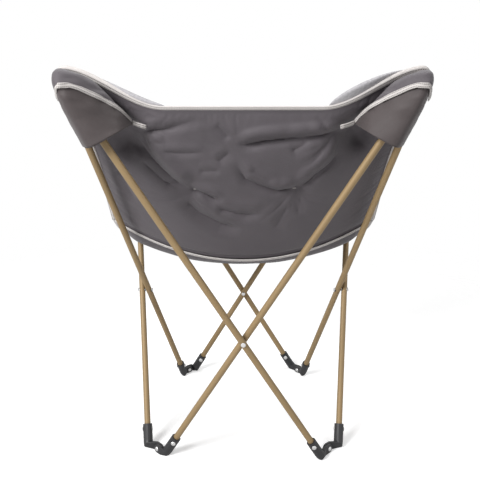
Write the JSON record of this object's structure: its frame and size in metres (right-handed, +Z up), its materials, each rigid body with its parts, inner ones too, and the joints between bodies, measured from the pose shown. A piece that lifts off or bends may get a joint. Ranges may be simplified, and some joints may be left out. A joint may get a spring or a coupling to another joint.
{
  "type": "folding butterfly chair",
  "caption": "Folding butterfly chair: crossed painted tubes on hinged moulded feet carry a padded sling cover by sewn corner pockets.",
  "frame": {"origin": "on the floor under the middle of the chair's outline", "axes": "+Z up, +Y the way the sitter faces, +X to the sitter's right"},
  "size_m": [0.736, 0.6362, 0.8914],
  "materials": {
    "paint": "satin",
    "plastic": "matte",
    "steel": "satin",
    "cloth": "matte",
    "tape": "matte"
  },
  "bodies": {
    "cover": {"cover_back": "cloth"},
    "cover_seat": {"cover_seat": "cloth"},
    "crease": {"crease_seam": "tape"},
    "rear_cross": {"cross_rivet_rear": "steel", "cross_washer_rear": "plastic"},
    "left_cross": {"cross_rivet_left": "steel", "cross_washer_left": "plastic"},
    "right_cross": {"cross_rivet_right": "steel", "cross_washer_right": "plastic"},
    "pocket_rear_left": {"pocket_rear_left": "cloth"},
    "pocket_front_left": {"pocket_front_left": "cloth"},
    "pocket_rear_right": {"pocket_rear_right": "cloth"},
    "pocket_front_right": {"pocket_front_right": "cloth"},
    "rear_tube_left": {"rear_tube_left": "paint", "rear_tube_left_socket": "plastic", "rear_tube_left_rivet": "steel", "rear_tube_left_cap": "plastic", "foot_pin_rear_left": "steel"},
    "rear_tube_right": {"rear_tube_right": "paint", "rear_tube_right_socket": "plastic", "rear_tube_right_rivet": "steel", "rear_tube_right_cap": "plastic", "foot_pin_rear_right": "steel"},
    "left_tube_rear": {"left_tube_rear": "paint", "left_tube_rear_socket": "plastic", "left_tube_rear_rivet": "steel", "left_tube_rear_cap": "plastic"},
    "left_tube_front": {"left_tube_front": "paint", "left_tube_front_socket": "plastic", "left_tube_front_rivet": "steel", "left_tube_front_cap": "plastic"},
    "right_tube_rear": {"right_tube_rear": "paint", "right_tube_rear_socket": "plastic", "right_tube_rear_rivet": "steel", "right_tube_rear_cap": "plastic"},
    "right_tube_front": {"right_tube_front": "paint", "right_tube_front_socket": "plastic", "right_tube_front_rivet": "steel", "right_tube_front_cap": "plastic"},
    "front_tube_left": {"front_tube_left": "paint", "front_tube_left_socket": "plastic", "front_tube_left_rivet": "steel", "front_tube_left_cap": "plastic", "foot_pin_front_left": "steel", "cross_rivet_front": "steel", "cross_washer_front": "plastic"},
    "front_tube_right": {"front_tube_right": "paint", "front_tube_right_socket": "plastic", "front_tube_right_rivet": "steel", "front_tube_right_cap": "plastic", "foot_pin_front_right": "steel"}
  },
  "joints": [
    {"name": "rear_cross_rise", "type": "slide", "parent": "cover", "child": "rear_cross", "axis": [0, 0, 1], "range_m": [0, 0.06087]},
    {"name": "fold", "type": "hinge", "parent": "rear_cross", "child": "rear_tube_left", "pos_m": [0, -0.20224, 0.30868], "axis": [-0.2431, -0.97, 0], "range_deg": [0, 26], "deforming": ["cover_back", "cover_seat", "crease_seam", "pocket_rear_left", "pocket_front_left", "pocket_rear_right", "pocket_front_right"]},
    {"name": "rear_right_swing", "type": "hinge", "parent": "rear_cross", "child": "rear_tube_right", "pos_m": [0, -0.20224, 0.30868], "axis": [-0.2431, 0.97, 0], "range_deg": [0, 26]},
    {"name": "pocket_rear_left_hang", "type": "hinge", "parent": "rear_tube_right", "child": "pocket_rear_left", "pos_m": [-0.41002, -0.30498, 0.91686], "axis": [-0.2431, 0.97, 0], "range_deg": [-26, 0]},
    {"name": "left_tube_front_swing", "type": "hinge", "parent": "pocket_rear_left", "child": "left_tube_front", "pos_m": [-0.41002, -0.30498, 0.91686], "axis": [-0.9227, 0.3855, 0], "range_deg": [0, 26]},
    {"name": "left_cross_hang", "type": "hinge", "parent": "left_tube_front", "child": "left_cross", "pos_m": [-0.25407, 0.06826, 0.33483], "axis": [-0.9227, 0.3855, 0], "range_deg": [-26, 0]},
    {"name": "left_tube_rear_swing", "type": "hinge", "parent": "left_cross", "child": "left_tube_rear", "pos_m": [-0.25407, 0.06826, 0.33483], "axis": [0.9728, 0.2316, 0], "range_deg": [0, 26]},
    {"name": "pocket_front_left_hang", "type": "hinge", "parent": "left_tube_rear", "child": "pocket_front_left", "pos_m": [-0.31331, 0.31709, 0.70285], "axis": [0.9728, 0.2316, 0], "range_deg": [-26, 0]},
    {"name": "front_tube_right_swing", "type": "hinge", "parent": "pocket_front_left", "child": "front_tube_right", "pos_m": [-0.31331, 0.31709, 0.70285], "axis": [0.0834, 0.9965, 0], "range_deg": [0, 26]},
    {"name": "pocket_rear_right_hang", "type": "hinge", "parent": "rear_tube_left", "child": "pocket_rear_right", "pos_m": [0.41002, -0.30498, 0.91686], "axis": [-0.2431, -0.97, 0], "range_deg": [-26, 0]},
    {"name": "right_tube_front_swing", "type": "hinge", "parent": "pocket_rear_right", "child": "right_tube_front", "pos_m": [0.41002, -0.30498, 0.91686], "axis": [-0.9227, -0.3855, 0], "range_deg": [0, 26]},
    {"name": "right_cross_hang", "type": "hinge", "parent": "right_tube_front", "child": "right_cross", "pos_m": [0.25407, 0.06826, 0.33483], "axis": [-0.9227, -0.3855, 0], "range_deg": [-26, 0]},
    {"name": "right_tube_rear_swing", "type": "hinge", "parent": "right_cross", "child": "right_tube_rear", "pos_m": [0.25407, 0.06826, 0.33483], "axis": [0.9728, -0.2316, 0], "range_deg": [0, 26]},
    {"name": "pocket_front_right_hang", "type": "hinge", "parent": "right_tube_rear", "child": "pocket_front_right", "pos_m": [0.31331, 0.31709, 0.70285], "axis": [0.9728, -0.2316, 0], "range_deg": [-26, 0]},
    {"name": "front_tube_left_swing", "type": "hinge", "parent": "pocket_front_right", "child": "front_tube_left", "pos_m": [0.31331, 0.31709, 0.70285], "axis": [0.0834, -0.9965, 0], "range_deg": [0, 26]},
    {"name": "seat_lift", "type": "hinge", "parent": "rear_cross", "child": "cover_seat", "pos_m": [0, 0.0271, 0.3776], "axis": [1, 0, 0], "range_deg": [0, 50]},
    {"name": "crease_swing", "type": "hinge", "parent": "rear_cross", "child": "crease", "pos_m": [0, 0.0884, 0.7817], "axis": [-1, 0, 0], "range_deg": [0, 25]}
  ],
  "couplings": [
    {"joint": "rear_cross_rise", "follows": "fold", "m_per_rad": 0.13414},
    {"joint": "rear_right_swing", "follows": "fold", "ratio": 1},
    {"joint": "pocket_rear_left_hang", "follows": "fold", "ratio": -1},
    {"joint": "left_tube_front_swing", "follows": "fold", "ratio": 1},
    {"joint": "left_cross_hang", "follows": "fold", "ratio": -1},
    {"joint": "left_tube_rear_swing", "follows": "fold", "ratio": 1},
    {"joint": "pocket_front_left_hang", "follows": "fold", "ratio": -1},
    {"joint": "front_tube_right_swing", "follows": "fold", "ratio": 1},
    {"joint": "pocket_rear_right_hang", "follows": "fold", "ratio": -1},
    {"joint": "right_tube_front_swing", "follows": "fold", "ratio": 1},
    {"joint": "right_cross_hang", "follows": "fold", "ratio": -1},
    {"joint": "right_tube_rear_swing", "follows": "fold", "ratio": 1},
    {"joint": "pocket_front_right_hang", "follows": "fold", "ratio": -1},
    {"joint": "front_tube_left_swing", "follows": "fold", "ratio": 1},
    {"joint": "seat_lift", "follows": "fold", "ratio": 1.9231},
    {"joint": "crease_swing", "follows": "fold", "ratio": 0.96154}
  ]
}
